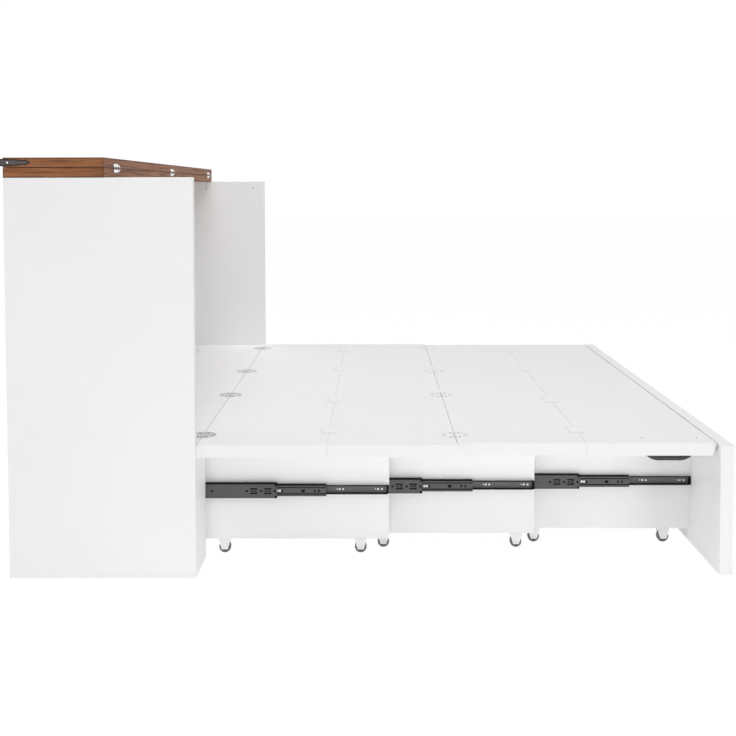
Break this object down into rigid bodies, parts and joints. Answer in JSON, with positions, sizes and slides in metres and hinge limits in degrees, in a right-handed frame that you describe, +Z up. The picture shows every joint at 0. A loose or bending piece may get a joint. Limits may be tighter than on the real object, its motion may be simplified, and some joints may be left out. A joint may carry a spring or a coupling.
{
  "type": "folding cabinet bed",
  "caption": "Cabinet bed, opened: white chest with a folding walnut lid, hinged deck sections, and a telescoping base on slides and casters with a full-height foot.",
  "frame": {"origin": "on the floor, at the middle of the opened bed's length and width", "axes": "+X from the chest towards the foot, +Z up, the near side with the pull handle faces -Y"},
  "size_m": [2.0864, 1.604, 1.2066],
  "materials": {
    "white_board": "white satin lacquer on board",
    "walnut_board": "satin walnut veneer",
    "slide_steel": "black electrocoat",
    "hinge_steel": "satin nickel",
    "white_plate": "white satin paint",
    "screw_steel": "zinc plate",
    "dark_metal": "black satin paint",
    "caster_plastic": "moulded white nylon",
    "wheel_rubber": "dark grey moulded tread"
  },
  "bodies": {
    "cabinet": {"side_panel_near": "white_board", "side_panel_far": "white_board", "back_panel": "white_board", "lid_rear_board": "walnut_board", "deck_rear_board": "white_board", "deck_front_board": "white_board", "side_box_walls": "white_board", "front_stiles": "white_board", "deck_bearers": "white_board", "slide_1_fixed_rails": "slide_steel", "deck_joining_plates": "white_plate", "deck_hinge_leaves": "hinge_steel", "deck_hinge_pins": "hinge_steel", "lid_hinge_lower_leaves": "hinge_steel", "lid_hinge_pins": "hinge_steel", "cabinet_screws": "screw_steel"},
    "section_one": {"section_one_rear_board": "white_board", "section_one_front_board": "white_board", "section_one_joining_plates": "white_plate", "section_one_rear_leaves": "hinge_steel", "section_one_front_leaves": "hinge_steel", "section_hinge_pins": "hinge_steel", "section_one_screws": "screw_steel"},
    "section_two": {"section_two_rear_board": "white_board", "section_two_front_board": "white_board", "section_two_joining_plates": "white_plate", "section_two_leaves": "hinge_steel", "pull_handle": "dark_metal", "section_two_screws": "screw_steel"},
    "lid_front": {"lid_front_board": "walnut_board", "lid_hinge_upper_leaves": "hinge_steel", "corner_straps": "dark_metal", "lid_front_screws": "screw_steel"},
    "slide_1_outer": {"slide_1_outer_members": "slide_steel"},
    "slide_1_middle": {"slide_1_middle_members": "slide_steel"},
    "stage_1": {"stage_1_walls": "white_board", "stage_1_cross_rails": "white_board", "stage_1_slide_rails": "slide_steel", "stage_1_casters": "caster_plastic"},
    "stage_1_rear_wheel_pair": {"stage_1_rear_wheels": "wheel_rubber"},
    "stage_1_front_wheel_pair": {"stage_1_front_wheels": "wheel_rubber"},
    "slide_2_outer": {"slide_2_outer_members": "slide_steel"},
    "slide_2_middle": {"slide_2_middle_members": "slide_steel"},
    "stage_2": {"stage_2_walls": "white_board", "stage_2_cross_rails": "white_board", "stage_2_slide_rails": "slide_steel", "stage_2_casters": "caster_plastic"},
    "stage_2_rear_wheel_pair": {"stage_2_rear_wheels": "wheel_rubber"},
    "stage_2_front_wheel_pair": {"stage_2_front_wheels": "wheel_rubber"},
    "slide_3_outer": {"slide_3_outer_members": "slide_steel"},
    "slide_3_middle": {"slide_3_middle_members": "slide_steel"},
    "stage_3": {"stage_3_walls": "white_board", "stage_3_cross_rails": "white_board", "stage_3_slide_rails": "slide_steel", "stage_3_casters": "caster_plastic", "foot_panel": "white_board"},
    "stage_3_rear_wheel_pair": {"stage_3_rear_wheels": "wheel_rubber"},
    "stage_3_front_wheel_pair": {"stage_3_front_wheels": "wheel_rubber"}
  },
  "joints": [
    {"name": "section_one_lift", "type": "hinge", "parent": "cabinet", "child": "section_one", "pos_m": [-0.49925, 0, 0.382], "axis": [0, -1, 0], "range_deg": [0, 90]},
    {"name": "section_two_fold", "type": "hinge", "parent": "section_one", "child": "section_two", "pos_m": [0.25275, 0, 0.382], "axis": [0, -1, 0], "range_deg": [0, 180]},
    {"name": "lid_fold", "type": "hinge", "parent": "cabinet", "child": "lid_front", "pos_m": [-0.74875, 0, 1.1783], "axis": [0, 1, 0], "range_deg": [0, 180]},
    {"name": "slide_1_outer_travel", "type": "slide", "parent": "cabinet", "child": "slide_1_outer", "axis": [-1, 0, 0], "range_m": [0, 0.21852]},
    {"name": "slide_1_middle_travel", "type": "slide", "parent": "cabinet", "child": "slide_1_middle", "axis": [-1, 0, 0], "range_m": [0, 0.36975]},
    {"name": "stage_1_travel", "type": "slide", "parent": "cabinet", "child": "stage_1", "axis": [-1, 0, 0], "range_m": [0, 0.53821]},
    {"name": "stage_1_rear_wheel_spin", "type": "hinge", "parent": "stage_1", "child": "stage_1_rear_wheel_pair", "pos_m": [-0.44644, 0, 0.018], "axis": [0, 1, 0], "continuous": true},
    {"name": "stage_1_front_wheel_spin", "type": "hinge", "parent": "stage_1", "child": "stage_1_front_wheel_pair", "pos_m": [-0.02944, 0, 0.018], "axis": [0, 1, 0], "continuous": true},
    {"name": "slide_2_outer_travel", "type": "slide", "parent": "stage_1", "child": "slide_2_outer", "axis": [-1, 0, 0], "range_m": [0, 0.10456]},
    {"name": "slide_2_middle_travel", "type": "slide", "parent": "stage_1", "child": "slide_2_middle", "axis": [-1, 0, 0], "range_m": [0, 0.26185]},
    {"name": "stage_2_travel", "type": "slide", "parent": "stage_1", "child": "stage_2", "axis": [-1, 0, 0], "range_m": [0, 0.45069]},
    {"name": "stage_2_rear_wheel_spin", "type": "hinge", "parent": "stage_2", "child": "stage_2_rear_wheel_pair", "pos_m": [0.04065, 0, 0.018], "axis": [0, 1, 0], "continuous": true},
    {"name": "stage_2_front_wheel_spin", "type": "hinge", "parent": "stage_2", "child": "stage_2_front_wheel_pair", "pos_m": [0.45265, 0, 0.018], "axis": [0, 1, 0], "continuous": true},
    {"name": "slide_3_outer_travel", "type": "slide", "parent": "stage_2", "child": "slide_3_outer", "axis": [-1, 0, 0], "range_m": [0, 0.1469]},
    {"name": "slide_3_middle_travel", "type": "slide", "parent": "stage_2", "child": "slide_3_middle", "axis": [-1, 0, 0], "range_m": [0, 0.30467]},
    {"name": "stage_3_travel", "type": "slide", "parent": "stage_2", "child": "stage_3", "axis": [-1, 0, 0], "range_m": [0, 0.4946]},
    {"name": "stage_3_rear_wheel_spin", "type": "hinge", "parent": "stage_3", "child": "stage_3_rear_wheel_pair", "pos_m": [0.51525, 0, 0.018], "axis": [0, 1, 0], "continuous": true},
    {"name": "stage_3_front_wheel_spin", "type": "hinge", "parent": "stage_3", "child": "stage_3_front_wheel_pair", "pos_m": [0.92325, 0, 0.018], "axis": [0, 1, 0], "continuous": true}
  ],
  "couplings": [
    {"joint": "slide_1_outer_travel", "follows": "section_two_fold", "m_per_rad": 0.069555},
    {"joint": "slide_1_middle_travel", "follows": "section_two_fold", "m_per_rad": 0.1177},
    {"joint": "stage_1_travel", "follows": "section_two_fold", "m_per_rad": 0.17132},
    {"joint": "slide_2_outer_travel", "follows": "section_one_lift", "m_per_rad": 0.066565},
    {"joint": "slide_2_middle_travel", "follows": "section_one_lift", "m_per_rad": 0.1667},
    {"joint": "stage_2_travel", "follows": "section_one_lift", "m_per_rad": 0.28692},
    {"joint": "slide_3_outer_travel", "follows": "section_one_lift", "m_per_rad": 0.093517},
    {"joint": "slide_3_middle_travel", "follows": "section_one_lift", "m_per_rad": 0.19396},
    {"joint": "stage_3_travel", "follows": "section_one_lift", "m_per_rad": 0.31487}
  ]
}
